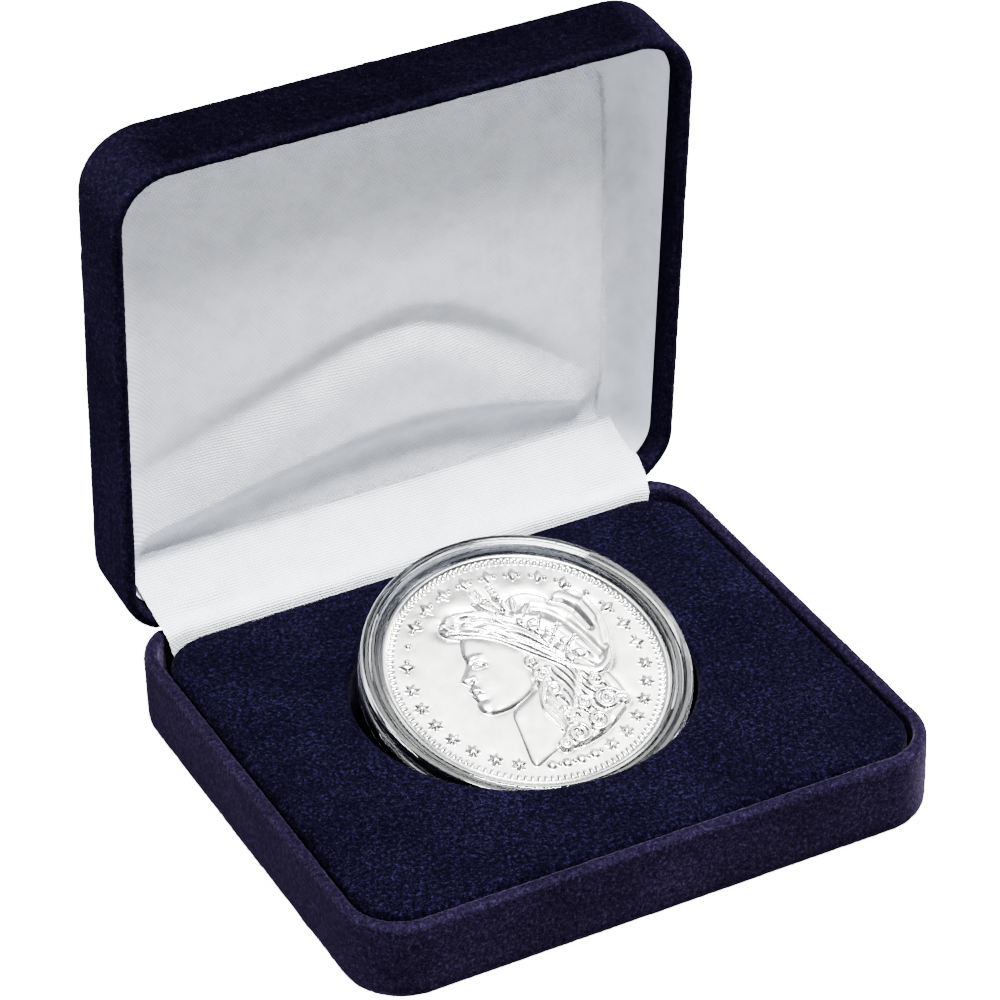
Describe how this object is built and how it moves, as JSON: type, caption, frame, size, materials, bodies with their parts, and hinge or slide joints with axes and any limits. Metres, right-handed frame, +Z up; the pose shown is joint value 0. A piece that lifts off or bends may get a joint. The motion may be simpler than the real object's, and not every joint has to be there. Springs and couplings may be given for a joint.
{
  "type": "coin presentation box",
  "caption": "Hinged clamshell presentation box with a padded velvet insert, a satin lined lid and a round clear capsule holding a crown-size silver coin.",
  "frame": {"origin": "middle of the box's underside", "axes": "+X to the right seen from the front, +Y towards the hinge, +Z up"},
  "size_m": [0.0826, 0.0846, 0.0852],
  "materials": {
    "box_velvet": "deep navy velvet, short pile",
    "insert_velvet": "navy flocked velvet",
    "white_satin": "white ribbed satin",
    "foam": "soft foam or wadding",
    "card": "grey card",
    "shell_plastic": "moulded, unseen",
    "hinge_metal": "plated sheet",
    "spring_steel": "plain strip",
    "clear_acrylic": "clear moulded acrylic",
    "silver": "bright struck silver"
  },
  "bodies": {
    "box": {"base_shell": "shell_plastic", "base_velvet": "box_velvet", "base_bottom_card": "card", "base_hinge_leaf": "hinge_metal", "hinge_pin": "hinge_metal", "hinge_rivets": "hinge_metal", "snap_spring": "spring_steel", "satin_flap": "white_satin", "insert_foam": "foam", "insert_board": "card", "insert_velvet": "insert_velvet", "recess_lining": "insert_velvet", "recess_floor": "insert_velvet", "capsule_wedge": "insert_velvet"},
    "lid": {"lid_shell": "shell_plastic", "lid_velvet": "box_velvet", "lid_card": "card", "lid_wadding": "foam", "lid_satin": "white_satin", "lid_side_satin": "white_satin", "lid_hinge_leaf": "hinge_metal", "lid_rivets": "hinge_metal"},
    "capsule": {"capsule_base": "clear_acrylic"},
    "cap": {"capsule_cap": "clear_acrylic"},
    "coin": {"coin": "silver"}
  },
  "joints": [
    {"name": "lid_hinge", "type": "hinge", "parent": "box", "child": "lid", "pos_m": [0, 0.0356, 0.0119], "axis": [1, 0, 0], "range_deg": [0, 84.3], "deforming": ["satin_flap", "snap_spring"]},
    {"name": "capsule_tip", "type": "hinge", "parent": "box", "child": "capsule", "pos_m": [0, -0.01972, 0.00619], "axis": [1, 0, 0], "range_deg": [-12.2, 0], "deforming": ["capsule_wedge"]},
    {"name": "cap_lift", "type": "slide", "parent": "capsule", "child": "cap", "axis": [0, -0.3123, 0.95], "range_m": [0, 0.0015]},
    {"name": "coin_lift", "type": "slide", "parent": "capsule", "child": "coin", "axis": [0, -0.3123, 0.95], "range_m": [0, 0.00075]}
  ],
  "couplings": [
    {"joint": "capsule_tip", "follows": "lid_hinge", "ratio": -0.1447},
    {"joint": "coin_lift", "follows": "cap_lift", "ratio": 0.5}
  ]
}
